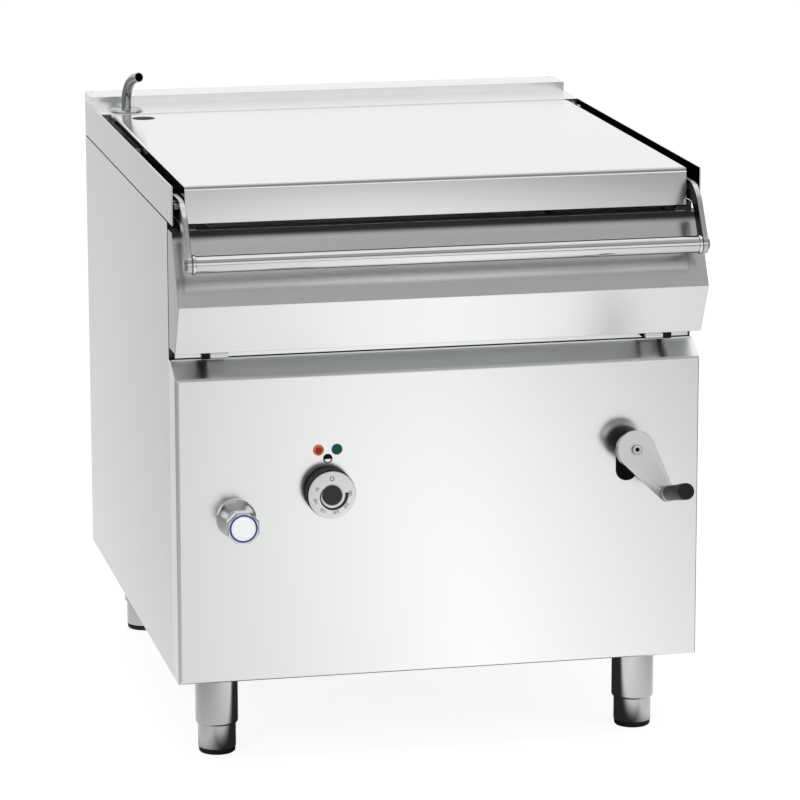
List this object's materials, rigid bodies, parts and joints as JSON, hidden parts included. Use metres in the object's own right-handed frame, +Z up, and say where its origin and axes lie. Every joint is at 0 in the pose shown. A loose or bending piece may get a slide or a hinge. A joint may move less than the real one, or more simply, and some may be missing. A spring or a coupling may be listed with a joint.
{
  "type": "tilting bratt pan",
  "caption": "Floor-standing electric tilting bratt pan with a steel cabinet on adjustable legs, a hinged lid with a bar handle, a hand crank with worm drive, a dial and a filling spout",
  "frame": {"origin": "on the floor, below the middle of the whole width and depth", "axes": "+X to the right as seen from the front, +Y to the back, +Z up"},
  "size_m": [0.8, 1.0788, 0.9549],
  "materials": {
    "panel_steel": "fine brushed stainless sheet",
    "casing_steel": "fine satin stainless sheet",
    "pan_steel": "satin stainless",
    "handle_steel": "polished stainless",
    "tube_steel": "satin stainless tube",
    "frame_steel": "plain machined steel",
    "drive_steel": "machined and lightly oiled",
    "crank_steel": "satin stainless plate",
    "bright_chrome": "mirror bright",
    "gearbox_iron": "painted casting",
    "brass": "plain",
    "element_steel": "heat-darkened",
    "black_plastic": "fine matt",
    "grey_plastic": "smooth",
    "dial_metal": "satin disc with printed numbers",
    "white_plastic": "smooth domed cap",
    "orange_lens": "ribbed lens",
    "green_lens": "ribbed lens",
    "buffer_rubber": "black"
  },
  "bodies": {
    "cabinet": {"front_panel": "panel_steel", "side_panel_left": "panel_steel", "side_panel_right": "panel_steel", "back_panel": "panel_steel", "base_panel": "panel_steel", "front_rail": "panel_steel", "rear_worktop": "panel_steel", "side_rail_left": "panel_steel", "side_rail_right": "panel_steel", "hinge_blocks": "frame_steel", "hinge_pins": "frame_steel", "crank_shield": "black_plastic", "gearbox": "gearbox_iron", "drive_bracket": "frame_steel", "legs": "tube_steel", "spout": "tube_steel", "spout_rosette": "tube_steel", "valve_body": "brass", "valve_rosette": "bright_chrome", "water_pipe": "brass", "supply_pipe": "brass", "water_inlet": "brass", "thermostat_body": "grey_plastic", "lamp_orange": "orange_lens", "lamp_green": "green_lens", "index_disc": "black_plastic", "terminal_box": "grey_plastic", "cable_gland": "black_plastic", "panel_screws": "panel_steel"},
    "foot_front_left": {"foot_front_left": "tube_steel"},
    "foot_front_right": {"foot_front_right": "tube_steel"},
    "foot_rear_left": {"foot_rear_left": "tube_steel"},
    "foot_rear_right": {"foot_rear_right": "tube_steel"},
    "pan": {"pan_well": "pan_steel", "pan_base": "pan_steel", "nose_casing": "casing_steel", "pan_casing": "casing_steel", "tilt_arms": "frame_steel", "heating_elements": "element_steel", "heater_cover": "pan_steel", "tilt_quadrant": "drive_steel", "lid_lugs": "pan_steel", "lid_buffers": "buffer_rubber"},
    "lid": {"lid_outer": "casing_steel", "lid_liner": "casing_steel", "filler_collar": "casing_steel", "handle_arms": "handle_steel", "handle_bar": "handle_steel", "lid_hinge_arms": "frame_steel", "lid_bolts": "handle_steel"},
    "worm": {"worm_shaft": "drive_steel"},
    "crank": {"crank_shaft": "drive_steel", "crank_arm": "crank_steel", "crank_bolt": "bright_chrome"},
    "grip": {"crank_grip": "black_plastic"},
    "dial": {"dial_shaft": "drive_steel", "dial_skirt": "black_plastic", "dial_face": "dial_metal"},
    "valve_knob": {"valve_knob": "bright_chrome", "valve_cap": "white_plastic"}
  },
  "joints": [
    {"name": "pan_tilt", "type": "hinge", "parent": "cabinet", "child": "pan", "pos_m": [0, -0.34555, 0.632], "axis": [1, 0, 0], "range_deg": [0, 70]},
    {"name": "lid_open", "type": "hinge", "parent": "pan", "child": "lid", "pos_m": [0, 0.34845, 0.87], "axis": [-1, 0, 0], "range_deg": [0, 65]},
    {"name": "worm_turn", "type": "hinge", "parent": "cabinet", "child": "worm", "pos_m": [0.288, -0.21661, 0.51049], "axis": [0, -0.2588, -0.9659], "range_deg": [0, 4900]},
    {"name": "crank_turn", "type": "hinge", "parent": "cabinet", "child": "crank", "pos_m": [0.288, -0.39007, 0.46586], "axis": [0, 0.9659, -0.2588], "range_deg": [0, 4900]},
    {"name": "grip_spin", "type": "hinge", "parent": "crank", "child": "grip", "pos_m": [0.33087, -0.43846, 0.4089], "axis": [0, -0.9659, 0.2588], "continuous": true},
    {"name": "dial_turn", "type": "hinge", "parent": "cabinet", "child": "dial", "pos_m": [-0.172, -0.36055, 0.422], "axis": [0, 1, 0], "range_deg": [0, 275]},
    {"name": "valve_turn", "type": "hinge", "parent": "cabinet", "child": "valve_knob", "pos_m": [-0.311, -0.36055, 0.386], "axis": [0, -1, 0], "range_deg": [0, 540]},
    {"name": "foot_front_left_height", "type": "slide", "parent": "cabinet", "child": "foot_front_left", "axis": [0, 0, -1], "range_m": [0, 0.04]},
    {"name": "foot_front_right_height", "type": "slide", "parent": "cabinet", "child": "foot_front_right", "axis": [0, 0, -1], "range_m": [0, 0.04]},
    {"name": "foot_rear_left_height", "type": "slide", "parent": "cabinet", "child": "foot_rear_left", "axis": [0, 0, -1], "range_m": [0, 0.04]},
    {"name": "foot_rear_right_height", "type": "slide", "parent": "cabinet", "child": "foot_rear_right", "axis": [0, 0, -1], "range_m": [0, 0.04]}
  ],
  "couplings": [
    {"joint": "worm_turn", "follows": "pan_tilt", "ratio": 70},
    {"joint": "crank_turn", "follows": "pan_tilt", "ratio": 70}
  ]
}
